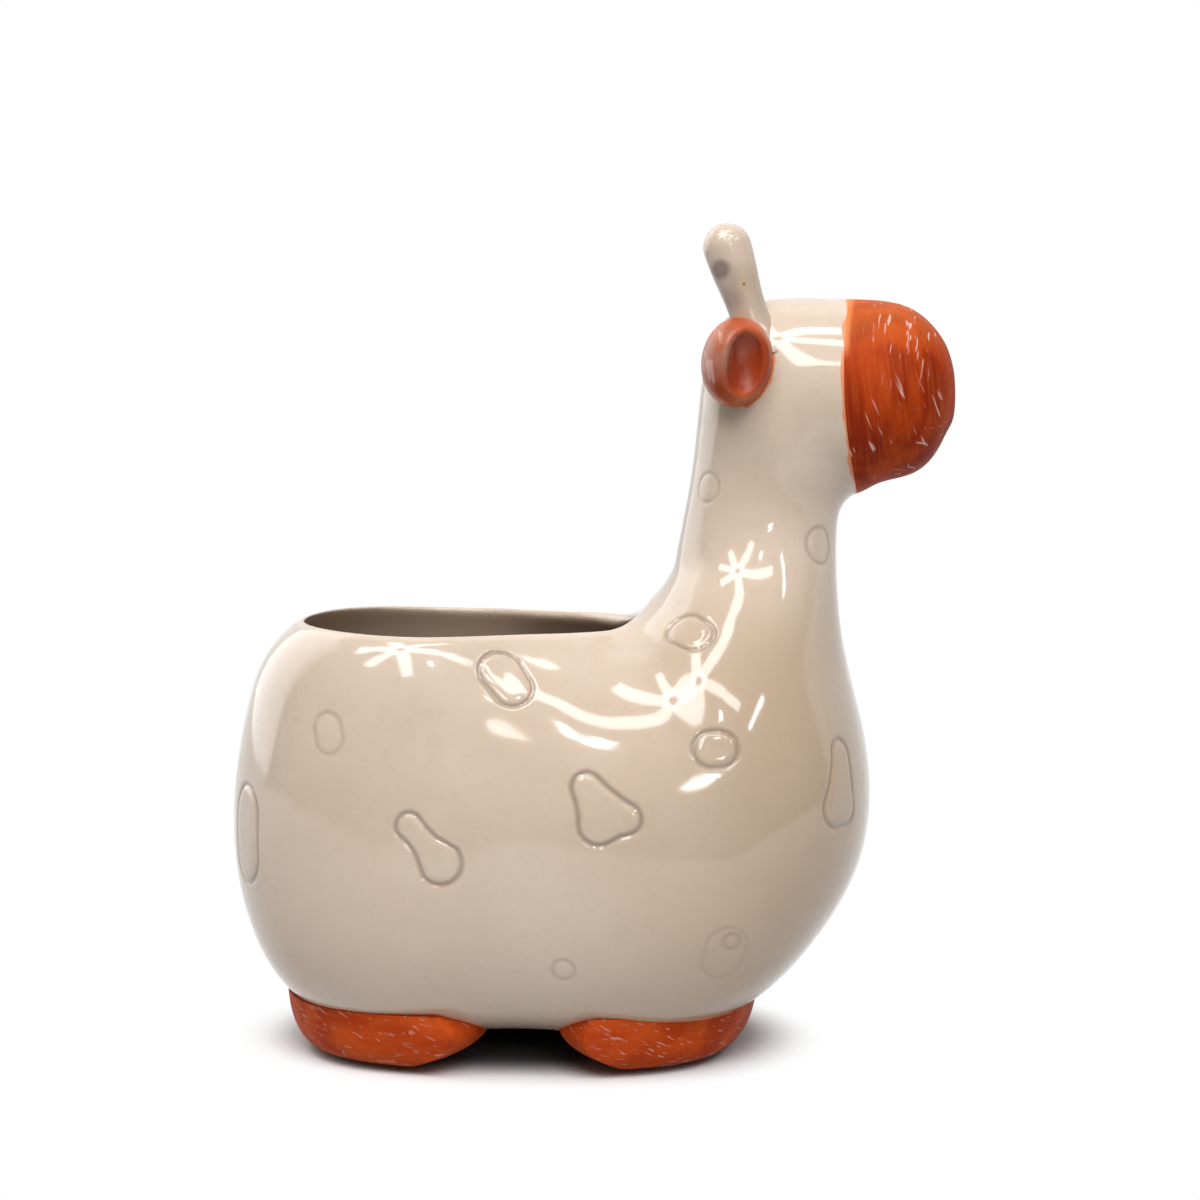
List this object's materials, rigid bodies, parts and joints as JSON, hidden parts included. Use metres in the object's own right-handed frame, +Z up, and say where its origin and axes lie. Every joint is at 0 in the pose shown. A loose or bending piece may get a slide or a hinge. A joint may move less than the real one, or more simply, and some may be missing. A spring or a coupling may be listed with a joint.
{
  "type": "animal planter",
  "caption": "Standing giraffe planter in glazed ceramic: open hollow body for a plant, long neck, terracotta muzzle, ears and hooves, knobbed horns and a drain stopper below.",
  "frame": {"origin": "bottom centre of the bounding box, on the surface the pads stand on", "axes": "+Z up, +X towards the giraffe's nose, +Y towards its left side"},
  "size_m": [0.1585, 0.106, 0.18],
  "materials": {
    "glaze": "gloss",
    "terracotta": "matte, brushed and worn",
    "pad": "matte",
    "stopper": "matte"
  },
  "bodies": {
    "planter": {"body_casting": "glaze", "muzzle": "terracotta", "left_ear": "terracotta", "right_ear": "terracotta", "left_ossicone": "glaze", "right_ossicone": "glaze", "front_left_hoof": "terracotta", "front_right_hoof": "terracotta", "rear_left_hoof": "terracotta", "rear_right_hoof": "terracotta", "front_left_pad": "pad", "front_right_pad": "pad", "rear_left_pad": "pad", "rear_right_pad": "pad"},
    "stopper": {"drain_stopper": "stopper"}
  },
  "joints": [
    {"name": "drain_pull", "type": "slide", "parent": "planter", "child": "stopper", "axis": [0, 0, -1], "range_m": [0, 0.02]}
  ]
}
